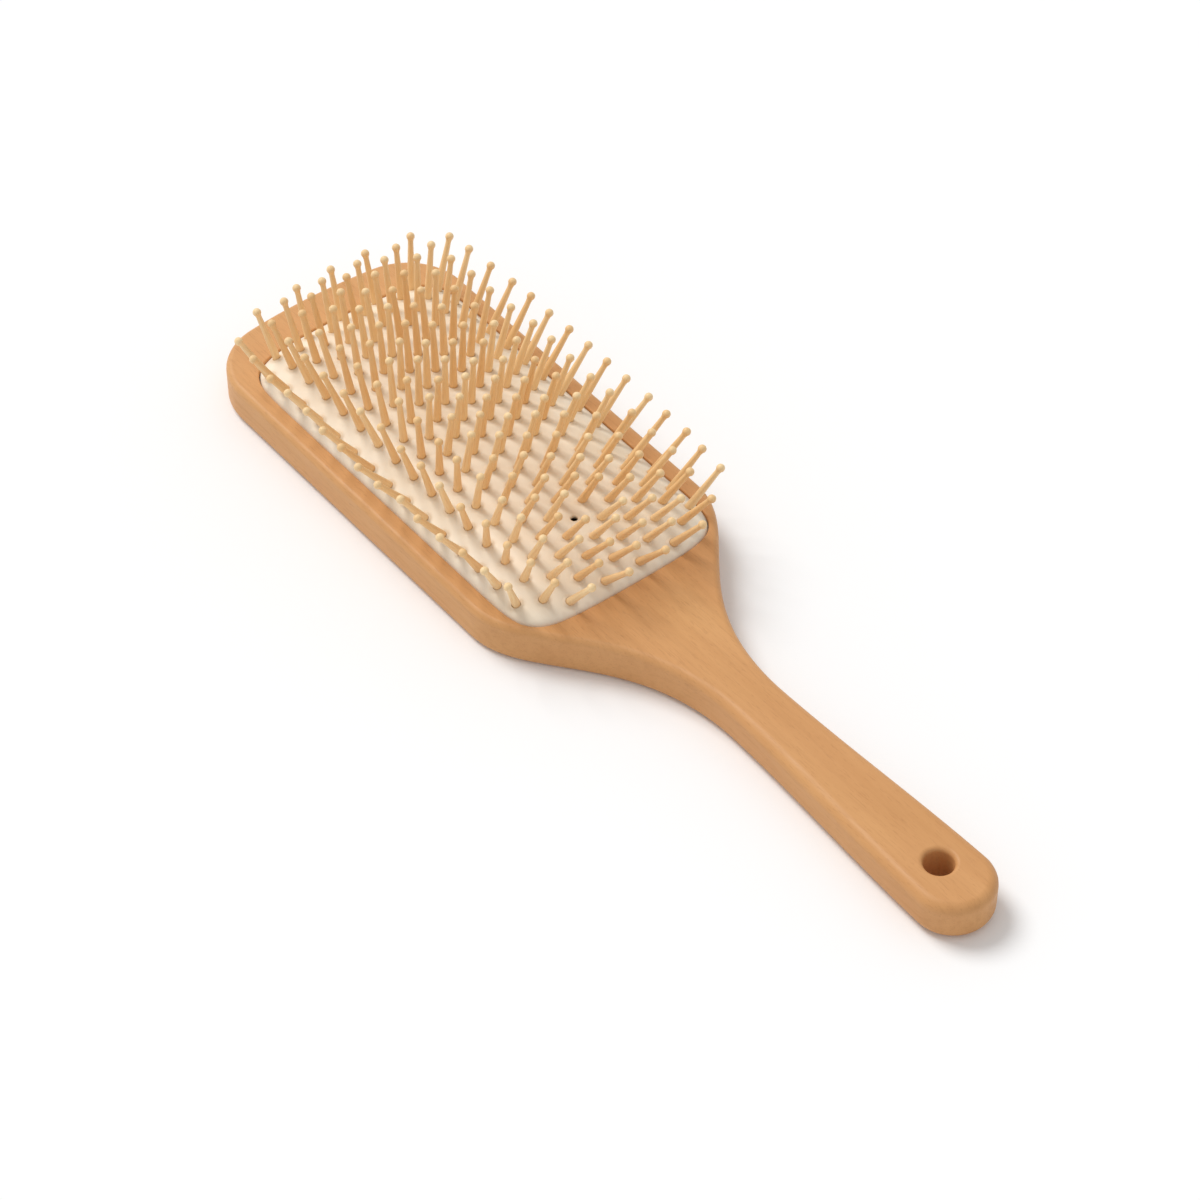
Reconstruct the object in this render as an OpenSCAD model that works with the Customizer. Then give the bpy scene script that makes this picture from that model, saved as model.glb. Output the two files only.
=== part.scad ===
// Paddle hair brush lying on its back with the pins up, in millimetres.
// X runs from the toe of the head to the end of the handle, and Z runs up the pins.
// The origin is on the back face, midway along and across the brush.

/* [Wooden body] */
// Overall length, from the toe to the end of the handle
brush_len = 250; // [240:1:265]
// Width of the head
head_width = 67.5; // [66.5:0.5:72]
// Thickness of the wood
wood_thick = 10.4; // [10.2:0.1:11.4]
// How far the toe edge bows out between its corners
toe_bow = 3.5; // [2:0.1:5]
// Radius of the two toe corners
toe_corner_r = 17; // [14:0.5:18]
// Distance from the toe to where the shoulders start
shoulder_pos = 112; // [110:1:115]
// Distance from the toe to the narrowest part of the neck
neck_pos = 174; // [170:1:180]
// Width of the neck at its narrowest
neck_width = 13.8; // [13:0.2:17]
// Width of the handle near its end
grip_width = 19.7; // [19:0.1:23]
// Radius of the rounded long edges
edge_r = 2; // [1:0.1:2.4]

/* [Hanging hole] */
// Diameter of the hanging hole
hole_d = 7; // [5:0.1:8]
// Distance from the end of the handle to the middle of the hole
hole_inset = 14.5; // [12:0.5:20]
// Rounding of the hole's two mouths
hole_edge_r = 1.2; // [0.5:0.1:1.5]

/* [Cushion] */
// Wood left between the toe and the cushion
toe_land = 11.5; // [10:0.5:13]
// Length of the cushion
pad_len = 117.5; // [115:0.5:119]
// Width of the cushion
pad_width = 57.5; // [56:0.5:58]
// Height of the cushion's edge above the back face
pad_edge_z = 10; // [9.6:0.1:10.2]
// Rise of the cushion from its edge to its crown
pad_rise = 5.4; // [4:0.1:6]
// Thickness of the rubber
pad_thick = 1.2; // [1:0.1:1.4]
// Diameter of the air vent
vent_d = 1.8; // [1.4:0.1:2.2]

/* [Pins] */
// Distance between neighbouring long rows of pins
row_pitch = 5.1; // [5:0.05:5.1]
// Length of a pin above the cushion
pin_len = 15.6; // [12:0.2:18]
// Diameter of a pin where it leaves the cushion
pin_d = 2; // [1.8:0.1:2.2]
// Diameter of a pin just below its ball tip
pin_neck_d = 1.5; // [1.2:0.1:1.8]
// Diameter of the ball tip
ball_d = 2.1; // [1.9:0.1:2.4]
// Outward lean of the two outer rows, as a slope
side_lean = 0.7; // [0.4:0.05:0.7]
// Lean of the toe end of the rows towards the toe, as a slope
toe_lean = 0.25; // [0.25:0.05:0.35]
// Lean of the heel end of the rows towards the handle, as a slope
heel_lean = 0.85; // [0.7:0.05:0.85]

/* [Hidden] */
// Rows are numbered across the brush, with row 0 on the centre line.
outer_row = 5;
columns = 16;
// Each row is divided into three groups of pins: first column, then the column after the last.
groups = [["toe", 0, 5], ["mid", 5, 11], ["heel", 11, 16]];
vent_column = 13;

toe_x = -brush_len / 2;
half_head = head_width / 2;
half_neck = neck_width / 2;
half_grip = grip_width / 2;
shoulder_reach = 19;
neck_reach = 36;
edge_steps = 4;

// Cushion: a squared oval whose toe follows the toe of the wood.
half_pad = pad_width / 2;
pad_toe_x = toe_x + toe_land;
pad_heel_x = pad_toe_x + pad_len;
heel_bow = 1;
corner_power = 6.5;
dome_power = 4;
rim_thick = 2.1;
rim_power = 12;
pad_steps = 14;
pad_columns = 24;

// The bead round the cushion sits in a groove round the pocket.
seat_gap = 0.3;
bead_out = 1.2;
bead_in = 1.2;
bead_z = [7.6, 9];
pocket_floor_z = 4;

// Pins: the lattice, their lean and the flange under the rubber.
pin_toe_x = pad_toe_x + 2.7;
pin_heel_x = pad_heel_x - 3.2;
last_level = 0.95;
lean_power = 3;
heel_power = 2;
corner_ease = 0.5;
flange_r = 1.5;
flange_thick = 1;
flange_drop = pad_thick + 1.7;
taper_start = 1.5;
ball_steps = 6;
hole_gap = 0.08;
hole_reach = 4;

row_numbers = [-outer_row:outer_row];
function row_name(row) = str(row + outer_row + 1 < 10 ? "0" : "", row + outer_row + 1);
function group_name(row, group) = str("pins_row_", row_name(row), "_", group[0]);

// ---- Outline of the wood

function bow_at(y) = toe_bow * pow(y / half_head, 2);

function toe_points() =
    let (bow_r = (pow(half_head, 2) + pow(toe_bow, 2)) / (2 * toe_bow))
    let (side = half_head - toe_corner_r)
    let (centre_x = bow_r - sqrt(pow(bow_r - toe_corner_r, 2) - pow(side, 2)))
    let (turn = asin(side / (bow_r - toe_corner_r)))
    concat(
        [for (i = [0:5]) let (a = turn * i / 6) [toe_x + bow_r * (1 - cos(a)), bow_r * sin(a)]],
        [for (i = [0:9]) let (a = turn + (90 - turn) * i / 9)
            [toe_x + centre_x - toe_corner_r * cos(a), side + toe_corner_r * sin(a)]]
    );

function bezier(p, t) =
    pow(1 - t, 3) * p[0] + 3 * t * pow(1 - t, 2) * p[1] + 3 * t * t * (1 - t) * p[2] + pow(t, 3) * p[3];

function shoulder_points() =
    let (ends = [
        [toe_x + shoulder_pos, half_head],
        [toe_x + shoulder_pos + shoulder_reach, half_head],
        [toe_x + neck_pos - neck_reach, half_neck],
        [toe_x + neck_pos, half_neck]
    ])
    [for (i = [0:17]) bezier(ends, i / 17)];

function grip_points() =
    let (start = toe_x + neck_pos, reach = brush_len / 2 - half_grip - start)
    [for (i = [1:9]) let (t = i / 10)
        let (swell = 0.6 * t * t * (3 - 2 * t) + 0.4 * t)
        [start + reach * t, half_neck + (half_grip - half_neck) * swell]];

function end_points() =
    [for (i = [0:9]) let (a = 90 - 90 * i / 9)
        [brush_len / 2 - half_grip + half_grip * cos(a), half_grip * sin(a)]];

function wood_outline() =
    let (side = concat(toe_points(), shoulder_points(), grip_points(), end_points()))
    concat(side, [for (i = [len(side) - 2:-1:1]) [side[i][0], -side[i][1]]]);

// The outline moved inwards by d along its own normals.
function inset(points, d) =
    let (n = len(points))
    [for (i = [0:n - 1])
        let (along = points[(i + 1) % n] - points[(i + n - 1) % n])
        points[i] + d * [along[1], -along[0]] / norm(along)];

// ---- Shape of the cushion

toe_knee_x = pad_toe_x + half_pad;
heel_knee_x = pad_heel_x - half_pad;

function toe_edge_x(y) = pad_toe_x + bow_at(y);
function heel_edge_x(y) = pad_heel_x - heel_bow * pow(y / half_pad, 2);

// 0 on the middle line of the cushion and 1 on its edge.
function pad_level(x, y) =
    let (u = x < toe_knee_x ? (toe_knee_x - x) / (toe_knee_x - toe_edge_x(y))
        : x > heel_knee_x ? (x - heel_knee_x) / (heel_edge_x(y) - heel_knee_x) : 0)
    pow(pow(u, corner_power) + pow(abs(y) / half_pad, corner_power), 1 / corner_power);

function pad_top(x, y) = pad_edge_z + pad_rise * (1 - pow(pad_level(x, y), dome_power));

function pad_under(x, y) =
    pad_top(x, y) - pad_thick - (rim_thick - pad_thick) * pow(pad_level(x, y), rim_power);

// How far the edge still reaches along the brush at the share v of the half width.
function reach(v) = pow(max(1 - pow(v, corner_power), 0), 1 / corner_power);

// Shares of the half width, closer together where the corners turn.
half_shares = [for (i = [0:pad_steps]) pow(sin(90 * pow(i / pad_steps, 1.7)), 2 / corner_power)];
shares = concat([for (i = [pad_steps:-1:1]) -half_shares[i]], half_shares);

function toe_side(v, grow) =
    let (y = v * (half_pad + grow))
    [toe_knee_x - reach(abs(v)) * (toe_knee_x - toe_edge_x(y) + grow), y];

function heel_side(v, grow) =
    let (y = v * (half_pad + grow))
    [heel_knee_x + reach(abs(v)) * (heel_edge_x(y) + grow - heel_knee_x), y];

// Closed outline of the cushion, grown outwards by grow.
function pad_outline(grow) = concat(
    [for (v = shares) heel_side(v, grow)],
    [for (i = [len(shares) - 1:-1:0]) toe_side(shares[i], grow)]
);

// ---- Places of the pins

function pin_spot(row, column) =
    let (y = row * row_pitch)
    let (share = (2 * column + abs(row) % 2) / (2 * columns - 1))
    [pin_toe_x + (1 - share) * bow_at(y) + share * (pin_heel_x - pin_toe_x), y];

function pin_base(row, column) =
    let (spot = pin_spot(row, column))
    [spot[0], spot[1], pad_top(spot[0], spot[1])];

function has_pin(row, column) =
    let (spot = pin_spot(row, column))
    !(row == 0 && column == vent_column) && pad_level(spot[0], spot[1]) < last_level;

// Direction of a pin: the outer rows lean out to the sides, a little less at the four corners, and
// the ends of the rows lean along the brush, the heel a little less in the outer rows.
function pin_axis(base) =
    let (along = (base[0] - pin_toe_x) / (pin_heel_x - pin_toe_x))
    let (across = base[1] / (outer_row * row_pitch))
    let (end_ease = 1 - corner_ease * pow(abs(2 * along - 1), lean_power))
    let (side_ease = 1 - corner_ease * pow(abs(across), lean_power))
    [
        heel_lean * pow(along, heel_power) * side_ease - toe_lean * pow(1 - along, lean_power),
        side_lean * sign(across) * pow(abs(across), lean_power) * end_ease,
        1
    ];

// ---- Shared shapes

// Solid between closed rings of points, each clockwise from above, from the lowest ring up.
// Every ring mirrors itself across the X axis, so its two ends are closed with strips running across.
module skin(rings) {
    n = len(rings[0]);
    last = (len(rings) - 1) * n;
    strips = concat(
        [[0, 1, n - 1]],
        [for (i = [1:n / 2 - 2]) [i, i + 1, n - i - 1, n - i]],
        [[n / 2 - 1, n / 2, n / 2 + 1]]
    );
    polyhedron(
        points = [for (ring = rings) for (p = ring) p],
        faces = concat(
            [for (strip = strips) [for (i = [len(strip) - 1:-1:0]) strip[i]]],
            [for (start = [0:n:last - n]) for (i = [0:n - 1])
                let (j = (i + 1) % n)
                for (face = [[i, j, j + n], [i, j + n, i + n]]) [for (k = face) start + k]],
            [for (strip = strips) [for (i = strip) last + i]]
        )
    );
}

module prism(outline, from_z, to_z) {
    translate([0, 0, from_z])
        linear_extrude(to_z - from_z)
            polygon(outline);
}

// Puts its children at the foot of every pin of one group, with +Z along the pin.
module at_pins(row, group) {
    for (column = [group[1]:group[2] - 1]) {
        if (has_pin(row, column)) {
            base = pin_base(row, column);
            axis = pin_axis(base);
            translate(base)
                rotate([0, acos(1 / norm(axis)), atan2(axis[1], axis[0])])
                    children();
        }
    }
}

// ---- Wooden body

module wood_blank() {
    outline = wood_outline();
    lower = [for (i = [0:edge_steps]) let (a = 90 * i / edge_steps)
        [edge_r * (1 - sin(a)), edge_r * (1 - cos(a))]];
    upper = [for (i = [0:edge_steps]) let (a = 90 * i / edge_steps)
        [edge_r * (1 - cos(a)), wood_thick - edge_r * (1 - sin(a))]];
    skin([for (step = concat(lower, upper))
        [for (p = inset(outline, step[0])) [p[0], p[1], step[1]]]]);
}

// Rounded mouth of the hanging hole, cut down from height 0.
module hole_mouth() {
    wide = hole_d / 2 + hole_edge_r;
    curve = [for (i = [0:edge_steps]) let (a = 90 * i / edge_steps)
        [wide - hole_edge_r * sin(a), -hole_edge_r * (1 - cos(a))]];
    rotate_extrude($fn = 48)
        polygon(concat([[0, -hole_edge_r], [0, 1], [wide, 1]], curve));
}

module hanging_hole() {
    translate([brush_len / 2 - hole_inset, 0, 0]) {
        translate([0, 0, -1])
            cylinder(d = hole_d, h = wood_thick + 2, $fn = 48);
        translate([0, 0, wood_thick])
            hole_mouth();
        mirror([0, 0, 1])
            hole_mouth();
    }
}

module wooden_body() {
    color([0.84, 0.63, 0.42])
        difference() {
            wood_blank();
            prism(pad_outline(seat_gap), pocket_floor_z, wood_thick + 1);
            prism(pad_outline(bead_out + seat_gap), bead_z[0] - seat_gap, bead_z[1] + seat_gap);
            hanging_hole();
        }
}

// ---- Cushion

// Domed sheet of rubber, thicker at its rim.
module rubber_sheet() {
    across = len(shares);
    along = [for (i = [0:pad_columns]) (i / pad_columns + (1 - cos(180 * i / pad_columns)) / 2) / 2];
    wide = len(along);
    spots = [for (v = shares) for (s = along) (1 - s) * toe_side(v, 0) + s * heel_side(v, 0)];
    under = len(spots);
    rim = concat(
        [for (j = [0:across - 2]) j * wide],
        [for (i = [0:wide - 2]) (across - 1) * wide + i],
        [for (j = [across - 1:-1:1]) j * wide + wide - 1],
        [for (i = [wide - 1:-1:1]) i]
    );
    squares = [for (j = [0:across - 2]) for (i = [0:wide - 2]) j * wide + i];
    polyhedron(
        points = concat(
            [for (p = spots) [p[0], p[1], pad_top(p[0], p[1])]],
            [for (p = spots) [p[0], p[1], pad_under(p[0], p[1])]]
        ),
        faces = concat(
            [for (k = squares) for (face = [[0, wide, wide + 1], [0, wide + 1, 1]])
                [for (c = face) k + c]],
            [for (k = squares) for (face = [[0, wide + 1, wide], [0, 1, wide + 1]])
                [for (c = face) under + k + c]],
            [for (i = [0:len(rim) - 1]) let (a = rim[i], b = rim[(i + 1) % len(rim)])
                for (face = [[under + a, under + b, b], [under + a, b, a]]) face]
        )
    );
}

module bead() {
    difference() {
        prism(pad_outline(bead_out), bead_z[0], bead_z[1]);
        prism(pad_outline(-bead_in), bead_z[0] - 1, bead_z[1] + 1);
    }
}

module cushion() {
    color([0.94, 0.87, 0.76])
        difference() {
            union() {
                rubber_sheet();
                bead();
            }
            for (row = row_numbers) for (group = groups) at_pins(row, group)
                cylinder(d = pin_d + 2 * hole_gap, h = 2 * hole_reach, center = true, $fn = 32);
            translate(pin_base(0, vent_column))
                cylinder(d = vent_d, h = 2 * hole_reach, center = true, $fn = 32);
        }
}

// ---- Pins

// One turned pin: flange, tapered shank and ball tip, with height 0 where it leaves the rubber.
module pin() {
    ball_r = ball_d / 2;
    neck_angle = asin(pin_neck_d / ball_d);
    ball = [for (i = [0:ball_steps]) let (a = neck_angle + (180 - neck_angle) * i / ball_steps)
        [ball_r * sin(a), pin_len - ball_r * (1 + cos(a))]];
    rotate_extrude($fn = 32)
        polygon(concat(
            [
                [0, -flange_drop - flange_thick],
                [flange_r, -flange_drop - flange_thick],
                [flange_r, -flange_drop],
                [pin_d / 2, -flange_drop],
                [pin_d / 2, taper_start]
            ],
            ball
        ));
}

module pin_group(row, group) {
    color([0.84, 0.65, 0.39])
        at_pins(row, group)
            pin();
}

wooden_body();
cushion();
for (row = row_numbers) for (group = groups)
    pin_group(row, group);
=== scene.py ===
import math
import random

import bmesh
import bpy
import numpy as np
from mathutils import Matrix, Vector
from mathutils.geometry import delaunay_2d_cdt


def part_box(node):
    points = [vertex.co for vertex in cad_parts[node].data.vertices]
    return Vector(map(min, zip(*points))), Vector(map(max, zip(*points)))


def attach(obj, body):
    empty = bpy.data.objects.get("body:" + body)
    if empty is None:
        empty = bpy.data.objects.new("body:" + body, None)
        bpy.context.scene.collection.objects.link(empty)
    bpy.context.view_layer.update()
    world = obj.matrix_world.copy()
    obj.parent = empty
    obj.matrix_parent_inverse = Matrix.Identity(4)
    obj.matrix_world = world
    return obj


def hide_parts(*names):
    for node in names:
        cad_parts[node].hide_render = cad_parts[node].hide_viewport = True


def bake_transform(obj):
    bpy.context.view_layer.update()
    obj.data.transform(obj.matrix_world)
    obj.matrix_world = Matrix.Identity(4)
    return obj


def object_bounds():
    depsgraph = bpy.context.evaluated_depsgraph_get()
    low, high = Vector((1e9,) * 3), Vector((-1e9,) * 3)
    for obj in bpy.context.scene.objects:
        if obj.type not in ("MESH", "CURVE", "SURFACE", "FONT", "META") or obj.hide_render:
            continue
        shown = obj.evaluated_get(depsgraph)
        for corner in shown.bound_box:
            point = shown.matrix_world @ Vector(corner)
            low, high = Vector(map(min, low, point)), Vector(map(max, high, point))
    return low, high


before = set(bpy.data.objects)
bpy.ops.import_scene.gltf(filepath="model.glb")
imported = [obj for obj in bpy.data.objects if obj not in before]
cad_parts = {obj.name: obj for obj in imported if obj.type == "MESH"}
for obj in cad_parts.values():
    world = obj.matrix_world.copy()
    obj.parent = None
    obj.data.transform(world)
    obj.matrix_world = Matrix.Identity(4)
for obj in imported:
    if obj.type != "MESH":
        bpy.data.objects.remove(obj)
cad_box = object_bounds()

# Shapes are worked out in millimetres, with the sizes of the CAD part, and put into meshes in metres.
MM = 0.001
UP = Vector((0, 0, 1))

# ---- Sizes of the CAD part

wood_low, wood_high = (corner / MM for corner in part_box("wooden_body"))
TOE_X, END_X = wood_low.x, wood_high.x
HALF_HEAD, WOOD_TOP = wood_high.y, wood_high.z
TOE_BOW = 3.5
TOE_CORNER_R = 17.0
SHOULDER_POS, SHOULDER_REACH = 112.0, 19.0
NECK_POS, NECK_REACH = 174.0, 36.0
HALF_NECK, HALF_GRIP = 6.9, 9.85
GRIP_EASE = 0.6
HEAD_EDGE_R, GRIP_EDGE_R = 1.7, 2.6
EDGE_CHANGE_X, EDGE_CHANGE_LEN = 5, 70

HOLE_R, HOLE_INSET, HOLE_EDGE_R = 3.5, 14.5, 1.2
HOLE_X = END_X - HOLE_INSET

SEAT_GAP, BEAD_OUT, BEAD_LOW, BEAD_TOP = 0.3, 1.2, 7.6, 9.0
POCKET_FLOOR_Z, LIP_R = 4.0, 0.35

pad_low, pad_high = (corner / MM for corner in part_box("cushion"))
PAD_TOE_X, PAD_HEEL_X = pad_low.x + BEAD_OUT, pad_high.x - BEAD_OUT
HALF_PAD = pad_high.y - BEAD_OUT
PAD_EDGE_Z = 10.0
PAD_RISE = 5.4
PAD_THICK = 1.2
HEEL_BOW, CORNER_POWER, DOME_POWER = 1.0, 6.5, 4.0
TOE_KNEE_X, HEEL_KNEE_X = PAD_TOE_X + HALF_PAD, PAD_HEEL_X - HALF_PAD

ROW_PITCH, OUTER_ROW, COLUMNS = 5.1, 5, 16
GROUPS = (("toe", 0, 5), ("mid", 5, 11), ("heel", 11, 16))
VENT_COLUMN, VENT_R = 13, 0.9
HOLE_STEPS, VENT_STEPS = 24, 20
PIN_TOE_X, PIN_HEEL_X = PAD_TOE_X + 2.7, PAD_HEEL_X - 3.2
LAST_LEVEL = 0.95
SIDE_LEAN, TOE_LEAN, HEEL_LEAN = 0.7, 0.25, 0.85
LEAN_POWER, HEEL_POWER, CORNER_EASE = 3, 2, 0.5
PIN_LEN, PIN_R, PIN_NECK_R, BALL_R = 15.6, 1.0, 0.75, 1.05
FLANGE_R, FLANGE_TOP, FLANGE_LOW = 1.5, -2.9, -3.9


# ---- Building meshes


class Surface:
    """Points and faces of one piece, with the shading normal at each corner of each face."""

    def __init__(self):
        self.points = []
        self.faces = []
        self.normals = []

    def add(self, points):
        first = len(self.points)
        self.points.extend(Vector(p) for p in points)
        return list(range(first, len(self.points)))

    def face(self, corners, normals):
        a, b, c = (self.points[k] for k in corners[:3])
        if (b - a).cross(c - b).dot(sum(normals, Vector())) < 0:
            corners, normals = corners[::-1], normals[::-1]
        self.faces.append(corners)
        self.normals.extend(normals)

    def strip(self, ring_a, ring_b, normals_a, normals_b):
        """Faces between two closed rings with as many points each."""
        n = len(ring_a)
        for i in range(n):
            j = (i + 1) % n
            self.face(
                [ring_a[i], ring_a[j], ring_b[j], ring_b[i]],
                [normals_a[i], normals_a[j], normals_b[j], normals_b[i]],
            )

    def flat(self, rings, normal):
        """Faces between an outer ring and the rings inside it, all at one height."""
        for corners in triangles_between(self.points, rings):
            self.face(corners, [normal] * 3)

    def mesh(self, name):
        mesh = bpy.data.meshes.new(name)
        mesh.from_pydata([p * MM for p in self.points], [], self.faces)
        mesh.polygons.foreach_set("use_smooth", [True] * len(mesh.polygons))
        mesh.normals_split_custom_set([n.normalized() for n in self.normals])
        return mesh


def inside(ring, x, y):
    """Which of the points (x, y) are within a closed ring."""
    odd = np.zeros(len(x), bool)
    for (ax, ay), (bx, by) in zip(ring, ring[1:] + ring[:1]):
        if ay != by:
            odd ^= ((ay > y) != (by > y)) & (x < ax + (y - ay) * (bx - ax) / (by - ay))
    return odd


def triangles_between(points, rings, loose=()):
    """Triangles of point numbers that fill the first ring but not the rings after it."""
    numbers = [k for ring in rings for k in ring] + list(loose)
    edges, first = [], 0
    for ring in rings:
        n = len(ring)
        edges += [(first + i, first + (i + 1) % n) for i in range(n)]
        first += n
    flat = [Vector((points[k].x, points[k].y)) for k in numbers]
    made = delaunay_2d_cdt(flat, edges, [], 0, 1e-6)
    corners = np.array([[made[3][c][0] for c in face] for face in made[2]])
    x, y = np.array([tuple(p) for p in flat])[corners].mean(axis=1).T
    outlines = [[(points[k].x, points[k].y) for k in ring] for ring in rings]
    kept = inside(outlines[0], x, y)
    for outline in outlines[1:]:
        kept &= ~inside(outline, x, y)
    return [[numbers[c] for c in face] for face in corners[kept]]


def new_piece(name, mesh, material):
    piece = bpy.data.objects.new(name, mesh)
    bpy.context.scene.collection.objects.link(piece)
    mesh.materials.append(material)
    return piece


def ease(t):
    t = min(max(t, 0.0), 1.0)
    return t * t * (3 - 2 * t)


def spread(low, high, steps):
    return [low + (high - low) * i / steps for i in range(steps + 1)]


def outward(ring):
    """Level unit normals that point out of a ring that runs clockwise from above."""
    n = len(ring)
    normals = []
    for i in range(n):
        before, after = ring[i] - ring[i - 1], ring[(i + 1) % n] - ring[i]
        along = before.normalized() + after.normalized()
        normals.append(Vector((-along.y, along.x, 0)).normalized())
    return normals


def circle(centre_x, radius, steps):
    """A level ring about a point on the X axis, clockwise from above."""
    turns = [-2 * math.pi * i / steps for i in range(steps)]
    return [Vector((centre_x + radius * math.cos(a), radius * math.sin(a), 0)) for a in turns]


# ---- Wooden body


def bow_at(y):
    return TOE_BOW * (y / HALF_HEAD) ** 2


def toe_points():
    bow_r = (HALF_HEAD**2 + TOE_BOW**2) / (2 * TOE_BOW)
    side = HALF_HEAD - TOE_CORNER_R
    centre_x = bow_r - math.sqrt((bow_r - TOE_CORNER_R) ** 2 - side**2)
    turn = math.asin(side / (bow_r - TOE_CORNER_R))
    bow = [
        (TOE_X + bow_r * (1 - math.cos(a)), bow_r * math.sin(a))
        for a in spread(0, turn, 12)[:-1]
    ]
    corner = [
        (TOE_X + centre_x - TOE_CORNER_R * math.cos(a), side + TOE_CORNER_R * math.sin(a))
        for a in spread(turn, math.pi / 2, 26)
    ]
    return bow + corner


def shoulder_points():
    ends = (
        Vector((TOE_X + SHOULDER_POS, HALF_HEAD)),
        Vector((TOE_X + SHOULDER_POS + SHOULDER_REACH, HALF_HEAD)),
        Vector((TOE_X + NECK_POS - NECK_REACH, HALF_NECK)),
        Vector((TOE_X + NECK_POS, HALF_NECK)),
    )
    return [
        (1 - t) ** 3 * ends[0]
        + 3 * t * (1 - t) ** 2 * ends[1]
        + 3 * t * t * (1 - t) * ends[2]
        + t**3 * ends[3]
        for t in spread(0, 1, 52)
    ]


def grip_share(t):
    """How far the handle has swelled between the neck and its end."""
    return GRIP_EASE * ease(t) + (1 - GRIP_EASE) * t


def grip_points():
    start = TOE_X + NECK_POS
    reach = END_X - HALF_GRIP - start
    return [
        (start + reach * t, HALF_NECK + (HALF_GRIP - HALF_NECK) * grip_share(t))
        for t in spread(0, 1, 28)[1:-1]
    ]


def end_points():
    return [
        (END_X - HALF_GRIP + HALF_GRIP * math.cos(a), HALF_GRIP * math.sin(a))
        for a in spread(math.pi / 2, 0, 24)
    ]


def wood_outline():
    side = [*toe_points(), *shoulder_points(), *grip_points(), *end_points()]
    ring = [Vector((x, y, 0)) for x, y in side]
    return ring + [Vector((p.x, -p.y, 0)) for p in ring[-2:0:-1]]


def edge_radius(x):
    """The long edges are rounder on the handle than round the head."""
    return HEAD_EDGE_R + (GRIP_EDGE_R - HEAD_EDGE_R) * ease((x - EDGE_CHANGE_X) / EDGE_CHANGE_LEN)


def reach_shares(steps):
    """Pairs of shares along and across the squared oval of the cushion, from its side to its end."""
    pairs = []
    for s in spread(0, 1, steps):
        turn = math.pi / 2 * s**3 / (s**3 + (1 - s) ** 3)
        along, across = max(math.cos(turn), 0), max(math.sin(turn), 0)
        pairs.append((along ** (2 / CORNER_POWER), across ** (2 / CORNER_POWER)))
    return pairs


def toe_edge_x(y):
    return PAD_TOE_X + bow_at(y)


def heel_edge_x(y):
    return PAD_HEEL_X - HEEL_BOW * (y / HALF_PAD) ** 2


def pad_outline(grow, steps=44):
    """Ring round the cushion, grown outwards by grow, clockwise from above."""
    toe, heel = [], []
    for along, across in reach_shares(steps):
        y = across * (HALF_PAD + grow)
        toe.append(Vector((TOE_KNEE_X - along * (TOE_KNEE_X - toe_edge_x(y) + grow), y, 0)))
        heel.append(Vector((HEEL_KNEE_X + along * (heel_edge_x(y) + grow - HEEL_KNEE_X), y, 0)))
    ring = toe + heel[::-1]
    return ring + [Vector((p.x, -p.y, 0)) for p in ring[-2:0:-1]]


def raised(ring, z):
    return [Vector((p.x, p.y, z)) for p in ring]


def wooden_body_mesh():
    body = Surface()
    outline = wood_outline()
    out = outward(outline)
    radii = [edge_radius(p.x) for p in outline]
    turns = spread(0, math.pi / 2, 7)

    rings, ring_normals = [], []
    for a in turns:
        rings.append([
            p - o * r * (1 - math.sin(a)) + UP * r * (1 - math.cos(a))
            for p, o, r in zip(outline, out, radii)
        ])
        ring_normals.append([o * math.sin(a) - UP * math.cos(a) for o in out])
    for a in turns:
        rings.append([
            p - o * r * (1 - math.cos(a)) + UP * (WOOD_TOP - r * (1 - math.sin(a)))
            for p, o, r in zip(outline, out, radii)
        ])
        ring_normals.append([o * math.cos(a) + UP * math.sin(a) for o in out])
    numbers = [body.add(ring) for ring in rings]
    for i in range(len(rings) - 1):
        body.strip(numbers[i], numbers[i + 1], ring_normals[i], ring_normals[i + 1])

    mouths = hanging_hole(body)
    lip = pocket(body)
    body.flat([numbers[-1], lip, mouths[1]], UP)
    body.flat([numbers[0], mouths[0]], -UP)
    return body.mesh("wooden_body_shape")


def hanging_hole(body, steps=64):
    """The bore with its two rounded mouths. Returns the rings in the lower and upper face."""
    away = [-o for o in outward(circle(0, 1, steps))]
    turns = spread(0, math.pi / 2, 6)
    rings, normals = [], []
    for a in turns:
        radius = HOLE_R + HOLE_EDGE_R * (1 - math.sin(a))
        rings.append(raised(circle(HOLE_X, radius, steps), HOLE_EDGE_R * (1 - math.cos(a))))
        normals.append([n * math.sin(a) - UP * math.cos(a) for n in away])
    for a in turns:
        radius = HOLE_R + HOLE_EDGE_R * (1 - math.cos(a))
        rings.append(raised(circle(HOLE_X, radius, steps), WOOD_TOP - HOLE_EDGE_R * (1 - math.sin(a))))
        normals.append([n * math.cos(a) + UP * math.sin(a) for n in away])
    numbers = [body.add(ring) for ring in rings]
    for i in range(len(rings) - 1):
        body.strip(numbers[i], numbers[i + 1], normals[i], normals[i + 1])
    return numbers[0], numbers[-1]


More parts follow.
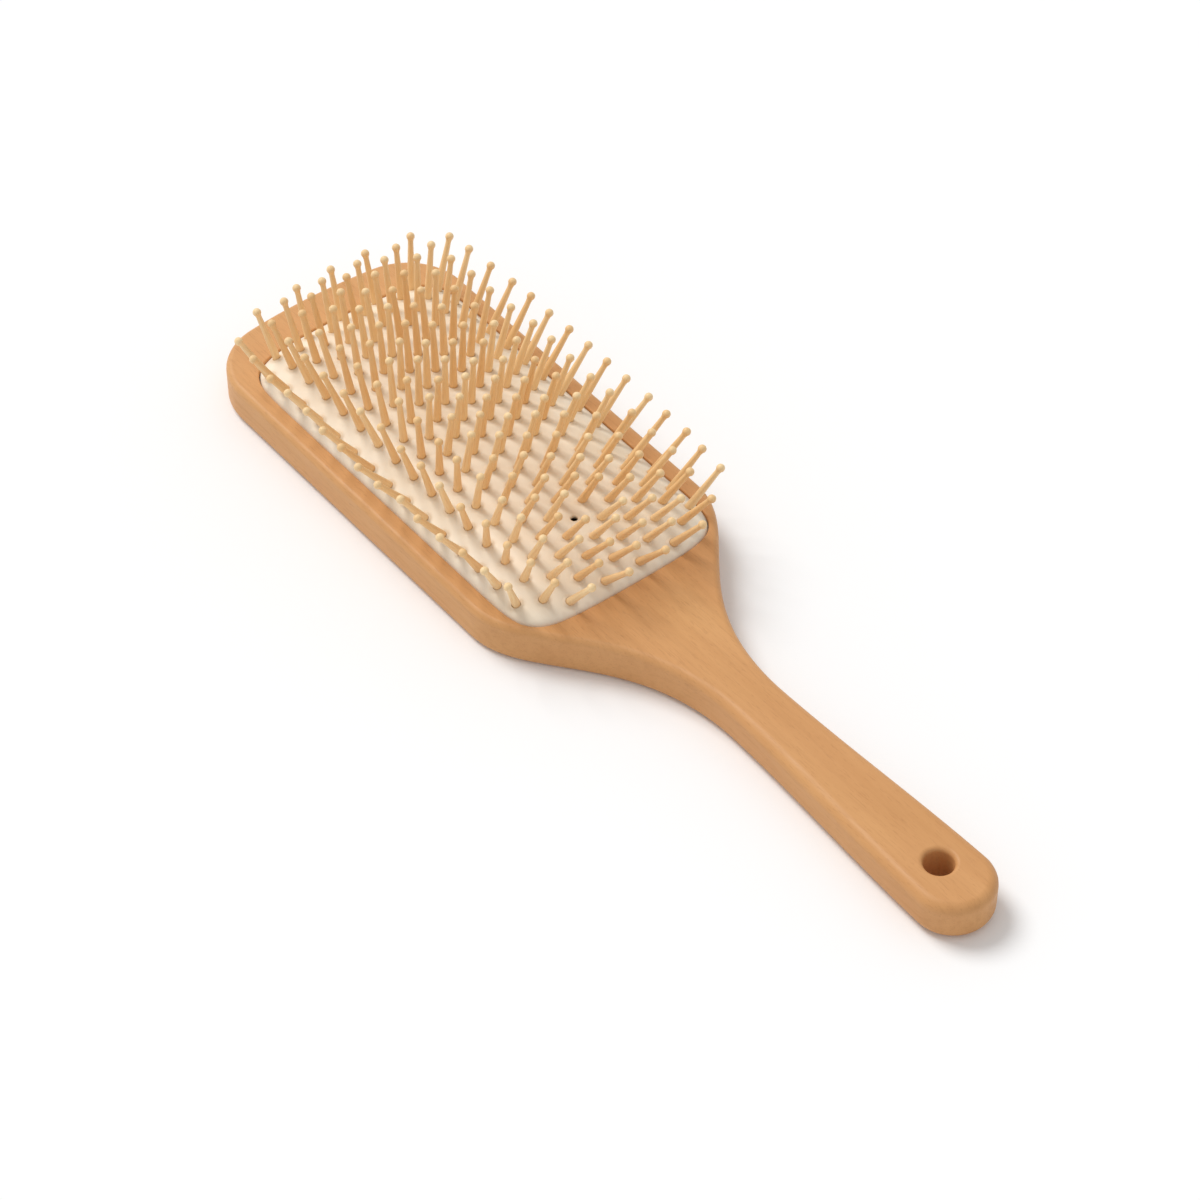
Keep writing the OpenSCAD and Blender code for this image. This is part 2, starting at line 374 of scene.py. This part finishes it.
def pocket(body):
    """The pocket under the cushion, with its softened lip and its groove. Returns the lip's upper ring."""
    away = [-o for o in outward(pad_outline(SEAT_GAP))]
    level = [UP] * len(away)
    under = [-UP] * len(away)
    steps = []
    for a in spread(0, math.pi / 2, 4):
        steps.append((SEAT_GAP + LIP_R * (1 - math.sin(a)), WOOD_TOP - LIP_R * (1 - math.cos(a))))
    lip = [body.add(raised(pad_outline(grow), z)) for grow, z in steps]
    slopes = [[n * math.sin(a) + UP * math.cos(a) for n in away] for a in spread(0, math.pi / 2, 4)]
    for i in range(len(lip) - 1):
        body.strip(lip[i], lip[i + 1], slopes[i], slopes[i + 1])
    roof_in, roof_out, ledge_out, ledge_in, floor_ring = (
        body.add(raised(pad_outline(grow), z))
        for grow, z in (
            (SEAT_GAP, BEAD_TOP + SEAT_GAP),
            (SEAT_GAP + BEAD_OUT, BEAD_TOP + SEAT_GAP),
            (SEAT_GAP + BEAD_OUT, BEAD_LOW - SEAT_GAP),
            (SEAT_GAP, BEAD_LOW - SEAT_GAP),
            (SEAT_GAP, POCKET_FLOOR_Z),
        )
    )
    body.strip(lip[-1], roof_in, away, away)
    body.strip(roof_in, roof_out, under, under)
    body.strip(roof_out, ledge_out, away, away)
    body.strip(ledge_out, ledge_in, level, level)
    body.strip(ledge_in, floor_ring, away, away)
    body.flat([floor_ring], UP)
    return lip[0]


# ---- Cushion


def pad_level(x, y):
    """0 on the middle line of the cushion and 1 on its edge."""
    u = 0.0
    if x < TOE_KNEE_X:
        u = (TOE_KNEE_X - x) / (TOE_KNEE_X - toe_edge_x(y))
    elif x > HEEL_KNEE_X:
        u = (x - HEEL_KNEE_X) / (heel_edge_x(y) - HEEL_KNEE_X)
    return (u**CORNER_POWER + (abs(y) / HALF_PAD) ** CORNER_POWER) ** (1 / CORNER_POWER)


def pad_top(x, y):
    return PAD_EDGE_Z + PAD_RISE * (1 - pad_level(x, y) ** DOME_POWER)


def pin_spot(row, column):
    y = row * ROW_PITCH
    share = (2 * column + abs(row) % 2) / (2 * COLUMNS - 1)
    return PIN_TOE_X + (1 - share) * bow_at(y) + share * (PIN_HEEL_X - PIN_TOE_X), y


def pin_axis(x, y):
    """Direction of a pin: outer rows lean out to the sides, and the ends of the rows along the brush."""
    along = (x - PIN_TOE_X) / (PIN_HEEL_X - PIN_TOE_X)
    across = y / (OUTER_ROW * ROW_PITCH)
    end_ease = 1 - CORNER_EASE * abs(2 * along - 1) ** LEAN_POWER
    side_ease = 1 - CORNER_EASE * abs(across) ** LEAN_POWER
    lean_x = HEEL_LEAN * along**HEEL_POWER * side_ease - TOE_LEAN * (1 - along) ** LEAN_POWER
    return Vector((lean_x, SIDE_LEAN * across**LEAN_POWER * end_ease, 1)).normalized()


def all_pins():
    """Foot and direction of every pin, under the name of its node."""
    pins = {}
    for row in range(-OUTER_ROW, OUTER_ROW + 1):
        for group, first, end in GROUPS:
            node = f"pins_row_{row + OUTER_ROW + 1:02d}_{group}"
            pins[node] = []
            for column in range(first, end):
                x, y = pin_spot(row, column)
                if (row, column) != (0, VENT_COLUMN) and pad_level(x, y) < LAST_LEVEL:
                    pins[node].append((Vector((x, y, pad_top(x, y))), pin_axis(x, y)))
    return pins


# Rings round each pin hole: distance from the pin's axis, and how far the rubber stands proud there.
HOLE_RINGS = (
    (1.06, 0.1),
    (1.14, 0.2),
    (1.3, 0.24),
    (1.5, 0.12),
    (1.75, -0.06),
    (2.05, -0.12),
    (2.5, -0.04),
)
VENT_RINGS = ((VENT_R, -0.1), (VENT_R + 0.1, -0.02), (VENT_R + 0.3, 0.02))
# Rings stop at one level and the grid between the holes at another, both short of the rim.
EDGE_LEVEL, GRID_LEVEL = 0.988, 0.975
GRID_PITCH, GRID_CLEAR = 1.25, 2.9
RIM_EXTRA, RIM_POWER = 1.2, 12
# How far from a pin's hole the painted shade on the rubber reaches.
PAINTED_SHADE_REACH = 1.5


def rubber_thickness(x, y):
    return PAD_THICK + RIM_EXTRA * min(pad_level(x, y), 1) ** RIM_POWER


def across(axis):
    side = axis.cross(Vector((0, 1, 0))).normalized()
    return side, axis.cross(side)


def cushion_mesh(pins):
    """Closed sheet of rubber with a rolled lip, a shallow dimple at each pin and its rim in the groove."""
    points, painted_shade_shares = [], []

    # Each point keeps its share of the painted shade round the pin feet.
    def put(p, foot):
        points.append(p)
        painted_shade_shares.append(foot)
        return len(points) - 1

    rim = [put(Vector((p.x, p.y, PAD_EDGE_Z)), 0.0) for p in pad_outline(0)]
    holes, loose = [], []
    vent_x, vent_y = pin_spot(0, VENT_COLUMN)
    vent = (Vector((vent_x, vent_y, pad_top(vent_x, vent_y))), UP)
    spots = [(foot, axis, HOLE_RINGS, HOLE_STEPS) for group in pins.values() for foot, axis in group]
    spots.append((*vent, VENT_RINGS, VENT_STEPS))
    for foot, axis, rings, steps in spots:
        side, other = across(axis)
        for number, (radius, proud) in enumerate(rings):
            ring = []
            for i in range(steps):
                a = 2 * math.pi * (i + number / 2) / steps
                flat = foot + (side * math.cos(a) + other * math.sin(a)) * radius
                if number and pad_level(flat.x, flat.y) > EDGE_LEVEL:
                    continue
                top = Vector((flat.x, flat.y, pad_top(flat.x, flat.y))) + axis * proud
                # Painted shade: the rubber is darkest at each pin's hole and fades outwards, where shade
                # falls between the pins.
                share = ease(1 - (radius - rings[0][0]) / PAINTED_SHADE_REACH)
                ring.append(put(top, share))
            if number:
                loose += ring
            else:
                holes.append(ring)

    near = np.array([(foot.x, foot.y) for foot, _, _, _ in spots])
    for j in range(int(2 * HALF_PAD / GRID_PITCH) + 1):
        y = -HALF_PAD + (j + 0.5) * GRID_PITCH
        for i in range(int((PAD_HEEL_X - PAD_TOE_X) / GRID_PITCH) + 1):
            x = PAD_TOE_X + (i + 0.5 * (j % 2)) * GRID_PITCH
            gap = np.hypot(near[:, 0] - x, near[:, 1] - y).min()
            if pad_level(x, y) > GRID_LEVEL or gap < GRID_CLEAR:
                continue
            loose.append(put(Vector((x, y, pad_top(x, y))), 0.0))

    top_faces = triangles_between(points, [rim, *holes], loose)
    count = len(points)
    points += [Vector((p.x, p.y, p.z - rubber_thickness(p.x, p.y))) for p in points]
    painted_shade_shares += [0.0] * count
    faces = [facing(points, f, 1) for f in top_faces]
    faces += [facing(points, [k + count for k in f], -1) for f in top_faces]
    for hole in holes:
        faces += ring_faces(hole, [k + count for k in hole])
    rim_steps = [rim]
    for grow, z in ((0.0, BEAD_TOP), (BEAD_OUT, BEAD_TOP), (BEAD_OUT, BEAD_LOW)):
        rim_steps.append([put(Vector((p.x, p.y, z)), 0.0) for p in pad_outline(grow)])
    rim_steps.append([k + count for k in rim])
    for k in rim_steps[-1]:
        points[k].z = BEAD_LOW
    for a, b in zip(rim_steps, rim_steps[1:]):
        faces += ring_faces(a, b)

    mesh = bpy.data.meshes.new("cushion_shape")
    mesh.from_pydata([p * MM for p in points], [], faces)
    turn_outwards(mesh)
    mesh.polygons.foreach_set("use_smooth", [True] * len(mesh.polygons))
    # The "foot" attribute holds the painted shade round the pin feet.
    attribute = mesh.attributes.new("foot", "FLOAT", "POINT")
    attribute.data.foreach_set("value", painted_shade_shares)
    return mesh


def facing(points, corners, sign):
    a, b, c = (points[k] for k in corners)
    level = (b.x - a.x) * (c.y - b.y) - (b.y - a.y) * (c.x - b.x)
    return corners if level * sign > 0 else corners[::-1]


def ring_faces(ring_a, ring_b):
    n = len(ring_a)
    return [[ring_a[i], ring_a[(i + 1) % n], ring_b[(i + 1) % n], ring_b[i]] for i in range(n)]


def turn_outwards(mesh):
    """Make every face of a closed mesh look outwards."""
    work = bmesh.new()
    work.from_mesh(mesh)
    bmesh.ops.recalc_face_normals(work, faces=work.faces)
    work.to_mesh(mesh)
    work.free()


# ---- Pins


# Heights above the rubber: where the shank starts to taper, where it is slimmest, and below the ball.
TAPER_START, SLIM_Z, COLLAR_LOW, COLLAR_TOP = 1.5, 12.4, 13.1, 13.5
SLIM_R, COLLAR_LOW_R, COLLAR_TOP_R = PIN_NECK_R - 0.06, PIN_NECK_R - 0.08, PIN_NECK_R - 0.02
# Degrees of a pin's own lean about each of two directions, and the seed of the draw.
OWN_LEAN, MOST_OWN_LEAN = 1.2, 2.5
PIN_SEED = 11


def pin_profile():
    """Half section of a turned pin, as (radius, height above the rubber), from its foot to its tip."""
    ball_z = PIN_LEN - BALL_R
    start = math.radians(48)
    shank = [(0.0, FLANGE_LOW), (FLANGE_R, FLANGE_LOW), (FLANGE_R, FLANGE_TOP), (PIN_R, FLANGE_TOP)]
    shank += [(PIN_R, -0.4), (PIN_R, TAPER_START)]
    for t in spread(0, 1, 6)[1:]:
        shank.append((PIN_R + (SLIM_R - PIN_R) * t, TAPER_START + (SLIM_Z - TAPER_START) * t))
    shank += [(COLLAR_LOW_R, COLLAR_LOW), (COLLAR_TOP_R, COLLAR_TOP)]
    ball = [
        (BALL_R * math.sin(a), ball_z - BALL_R * math.cos(a))
        for a in spread(start, math.pi, 10)
    ]
    ball[-1] = (0.0, PIN_LEN)
    return shank + ball


def pins_mesh(name, pins, draw, steps=18):
    """All the pins of one node, each a closed solid with its own small lean and tone."""
    profile = pin_profile()
    points, faces, tones, grain = [], [], [], []
    for foot, axis in pins:
        side, other = across(axis)
        lean_a, lean_b = (
            max(-MOST_OWN_LEAN, min(MOST_OWN_LEAN, draw.gauss(0, OWN_LEAN)))
            for _ in range(2)
        )
        turn_a = Matrix.Rotation(math.radians(lean_a), 3, side)
        turn_b = Matrix.Rotation(math.radians(lean_b), 3, other)
        bend = turn_a @ turn_b
        tone, shift = draw.random(), draw.random() * 40
        side, other, line = bend @ side, bend @ other, bend @ axis
        rings = []
        for radius, height in profile:
            count = 1 if radius == 0 else steps
            rings.append(list(range(len(points), len(points) + count)))
            for i in range(count):
                a = 2 * math.pi * i / steps
                level = side * math.cos(a) * radius + other * math.sin(a) * radius
                points.append(foot + level + line * height)
                tones.append(tone)
                grain.append((radius * math.cos(a), radius * math.sin(a) + shift, height + shift))
        for low, high in zip(rings, rings[1:]):
            if len(low) == 1:
                faces += [[low[0], high[(i + 1) % steps], high[i]] for i in range(steps)]
            elif len(high) == 1:
                faces += [[low[i], low[(i + 1) % steps], high[0]] for i in range(steps)]
            else:
                faces += ring_faces(low, high)
    mesh = bpy.data.meshes.new(name + "_shape")
    mesh.from_pydata([p * MM for p in points], [], faces)
    turn_outwards(mesh)
    mesh.polygons.foreach_set("use_smooth", [True] * len(mesh.polygons))
    mesh.attributes.new("tone", "FLOAT", "POINT").data.foreach_set("value", tones)
    mesh.attributes.new("grain", "FLOAT_VECTOR", "POINT").data.foreach_set(
        "vector", [c for g in grain for c in g]
    )
    mesh.set_sharp_from_angle(angle=math.radians(50))
    return mesh


# ---- Materials


class Paint:
    """A material under construction: its Principled shader and the nodes that feed it."""

    def __init__(self, name, **sockets):
        self.material = bpy.data.materials.new(name)
        self.material.use_nodes = True
        self.tree = self.material.node_tree
        self.shader = self.tree.nodes["Principled BSDF"]
        for socket, value in sockets.items():
            self.shader.inputs[socket.replace("_", " ")].default_value = value

    def node(self, kind, inputs=(), **settings):
        node = self.tree.nodes.new(kind)
        for key, value in settings.items():
            setattr(node, key, value)
        for socket, value in dict(inputs).items():
            if isinstance(value, bpy.types.NodeSocket):
                self.tree.links.new(value, node.inputs[socket])
            else:
                node.inputs[socket].default_value = value
        return node

    def noise(self, coords, scale, detail=3.0, roughness=0.55):
        """Noise over coords stretched by scale, as a factor around a half."""
        placed = self.node("ShaderNodeMapping", {"Vector": coords, "Scale": scale})
        made = self.node(
            "ShaderNodeTexNoise",
            {"Vector": placed.outputs[0], "Scale": 1.0, "Detail": detail, "Roughness": roughness},
        )
        return made.outputs[0]

    def remap(self, value, low, high, to_low=0.0, to_high=1.0):
        made = self.node(
            "ShaderNodeMapRange",
            {0: value, 1: low, 2: high, 3: to_low, 4: to_high},
        )
        return made.outputs[0]

    def mix(self, share, a, b):
        made = self.node("ShaderNodeMix", data_type="RGBA")
        for socket, value in ((0, share), (6, a), (7, b)):
            if isinstance(value, bpy.types.NodeSocket):
                self.tree.links.new(value, made.inputs[socket])
            else:
                made.inputs[socket].default_value = value
        return made.outputs[2]

    def math(self, operation, a, b):
        return self.node("ShaderNodeMath", {0: a, 1: b}, operation=operation).outputs[0]

    def feed(self, socket, value):
        self.tree.links.new(value, self.shader.inputs[socket])

    def bump(self, height, distance, strength):
        made = self.node(
            "ShaderNodeBump", {"Strength": strength, "Distance": distance, "Height": height}
        )
        self.feed("Normal", made.outputs[0])


WOOD_DARK = (0.590, 0.290, 0.104, 1)
WOOD_LIGHT = (0.678, 0.354, 0.138, 1)
# Painted light: the wood is painted lighter towards the toe, as if a lamp stood on that side, fading out
# at the X given below.
WOOD_TOE_PAINTED_LIGHT = (0.735, 0.405, 0.172, 1)
WOOD_CLOUD = (0.633, 0.305, 0.122, 1)
WOOD_STREAK = (0.440, 0.200, 0.068, 1)
WOOD_FLECK = (0.410, 0.180, 0.064, 1)
PAINTED_LIGHT_END_X = 60

RUBBER_DARK = (0.890, 0.770, 0.600, 1)
RUBBER_LIGHT = (0.930, 0.830, 0.680, 1)
# Painted shade: the rubber turns darker brown round the foot of each pin, where shade falls between the
# pins.
RUBBER_PAINTED_SHADE = (0.620, 0.410, 0.210, 1)

PIN_DARK = (0.860, 0.560, 0.262, 1)
PIN_LIGHT = (0.940, 0.700, 0.392, 1)
PIN_FIBRE = (0.720, 0.400, 0.155, 1)


def wood_material():
    paint = Paint("body_wood", IOR=1.5, Specular_IOR_Level=0.28, Coat_Weight=0.05, Coat_Roughness=0.4)
    coords = paint.node("ShaderNodeTexCoord").outputs["Object"]
    bands = paint.noise(coords, (14, 190, 60), 4.0, 0.6)
    streaks = paint.noise(coords, (70, 1100, 900), 3.0, 0.6)
    flecks = paint.noise(coords, (420, 3600, 3600), 2.0, 0.5)
    cloud = paint.noise(coords, (28, 40, 40), 2.0, 0.5)
    along = paint.node("ShaderNodeSeparateXYZ", {0: coords}).outputs[0]
    colour = paint.mix(paint.remap(bands, 0.35, 0.65), WOOD_DARK, WOOD_LIGHT)
    # Painted light: the head is made lighter towards the toe, as if lit more from that side.
    colour = paint.mix(paint.remap(along, TOE_X * MM, PAINTED_LIGHT_END_X * MM, 0.5, 0.0), colour, WOOD_TOE_PAINTED_LIGHT)
    colour = paint.mix(paint.remap(cloud, 0.35, 0.65, 0.0, 0.4), colour, WOOD_CLOUD)
    colour = paint.mix(paint.remap(streaks, 0.5, 0.72, 0.0, 0.22), colour, WOOD_STREAK)
    colour = paint.mix(paint.remap(flecks, 0.58, 0.70, 0.0, 0.30), colour, WOOD_FLECK)
    paint.feed("Base Color", colour)
    paint.feed("Roughness", paint.remap(streaks, 0.3, 0.7, 0.42, 0.56))
    paint.bump(paint.math("ADD", streaks, paint.math("MULTIPLY", flecks, 0.6)), 0.00006, 0.6)
    return paint.material


def rubber_material():
    paint = Paint("cushion_rubber", IOR=1.5, Specular_IOR_Level=0.4)
    coords = paint.node("ShaderNodeTexCoord").outputs["Object"]
    foot = paint.node("ShaderNodeAttribute", attribute_name="foot").outputs["Fac"]
    cloud = paint.noise(coords, (60, 60, 60), 3.0, 0.5)
    skin = paint.noise(coords, (1500, 1500, 1500), 2.0, 0.5)
    colour = paint.mix(paint.remap(cloud, 0.35, 0.65), RUBBER_DARK, RUBBER_LIGHT)
    # Painted shade round the foot of each pin.
    colour = paint.mix(paint.remap(foot, 0.0, 1.0, 0.0, 0.4), colour, RUBBER_PAINTED_SHADE)
    paint.feed("Base Color", colour)
    paint.feed("Roughness", paint.remap(skin, 0.3, 0.7, 0.52, 0.64))
    paint.bump(skin, 0.00005, 0.5)
    return paint.material


def pin_material():
    paint = Paint("pin_wood", IOR=1.5, Specular_IOR_Level=0.4, Coat_Weight=0.08, Coat_Roughness=0.4)
    grain = paint.node("ShaderNodeAttribute", attribute_name="grain").outputs["Vector"]
    tone = paint.node("ShaderNodeAttribute", attribute_name="tone").outputs["Fac"]
    fibres = paint.noise(grain, (2.6, 2.6, 0.16), 3.0, 0.6)
    rings = paint.noise(grain, (0.4, 0.4, 5.0), 2.0, 0.5)
    colour = paint.mix(tone, PIN_DARK, PIN_LIGHT)
    colour = paint.mix(paint.remap(fibres, 0.45, 0.75, 0.0, 0.4), colour, PIN_FIBRE)
    paint.feed("Base Color", colour)
    paint.feed("Roughness", paint.remap(fibres, 0.3, 0.7, 0.42, 0.58))
    paint.bump(paint.math("ADD", fibres, paint.math("MULTIPLY", rings, 0.4)), 0.00004, 0.5)
    return paint.material


# ---- Light, floor and camera


def stage_material():
    paint = Paint("floor_paper", Roughness=0.9, Specular_IOR_Level=0.1)
    coords = paint.node("ShaderNodeTexCoord").outputs["Object"]
    cloud = paint.noise(coords, (3, 3, 3), 2.0, 0.5)
    paint.feed("Base Color", paint.mix(cloud, (0.95, 0.95, 0.95, 1), (0.97, 0.97, 0.97, 1)))
    return paint.material


def add_floor():
    mesh = bpy.data.meshes.new("floor_shape")
    half, z = 3.0, cad_box[0][2] - 0.0001
    corners = [(-half, -half, z), (half, -half, z), (half, half, z), (-half, half, z)]
    mesh.from_pydata(corners, [], [(0, 1, 2, 3)])
    floor = new_piece("floor", mesh, stage_material())


def add_sun(name, direction, strength, spread_degrees):
    """Even light from one side, as soft as a large studio lamp far away."""
    light = bpy.data.lights.new(name, "SUN")
    light.energy = strength
    light.angle = math.radians(spread_degrees)
    lamp = bpy.data.objects.new(name, light)
    bpy.context.scene.collection.objects.link(lamp)
    lamp.rotation_euler = Vector(direction).to_track_quat("Z", "Y").to_euler()


def add_world(strength):
    world = bpy.data.worlds.new("studio")
    world.use_nodes = True
    background = world.node_tree.nodes["Background"]
    background.inputs["Color"].default_value = (1.0, 1.0, 1.0, 1)
    background.inputs["Strength"].default_value = strength
    bpy.context.scene.world = world


def add_camera():
    azimuth, elevation, distance = math.radians(51.7), math.radians(45.9), 0.872
    aim_up, aim_left = 0.00129, 0.00465
    lens_mm, sensor_mm = 111.9, 36
    back = Vector((
        math.sin(azimuth) * math.cos(elevation),
        -math.cos(azimuth) * math.cos(elevation),
        math.sin(elevation),
    ))
    right = Vector((math.cos(azimuth), math.sin(azimuth), 0))
    aim = back.cross(right) * aim_up - right * aim_left
    data = bpy.data.cameras.new("camera")
    data.sensor_width = sensor_mm
    data.lens = lens_mm
    camera = bpy.data.objects.new("camera", data)
    bpy.context.scene.collection.objects.link(camera)
    camera.location = aim + back * distance
    camera.rotation_euler = back.to_track_quat("Z", "Y").to_euler()
    bpy.context.scene.camera = camera


# ---- The scene


def add_piece(name, mesh, material):
    piece = new_piece(name, mesh, material)
    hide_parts(name.replace("_look", ""))
    return piece


def main():
    pins = all_pins()
    body = add_piece("wooden_body_look", wooden_body_mesh(), wood_material())
    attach(body, "brush")

    cushion = add_piece("cushion_look", cushion_mesh(pins), rubber_material())
    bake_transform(cushion)

    draw = random.Random(PIN_SEED)
    finish = pin_material()
    for node, group in pins.items():
        piece = add_piece(node + "_look", pins_mesh(node, group, draw), finish)
        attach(piece, node)

    add_floor()
    add_camera()
    add_world(strength=0.60)
    add_sun("key", (-0.6, -0.12, 0.8), strength=1.80, spread_degrees=28)
    bpy.context.scene.view_settings.view_transform = "Standard"


main()
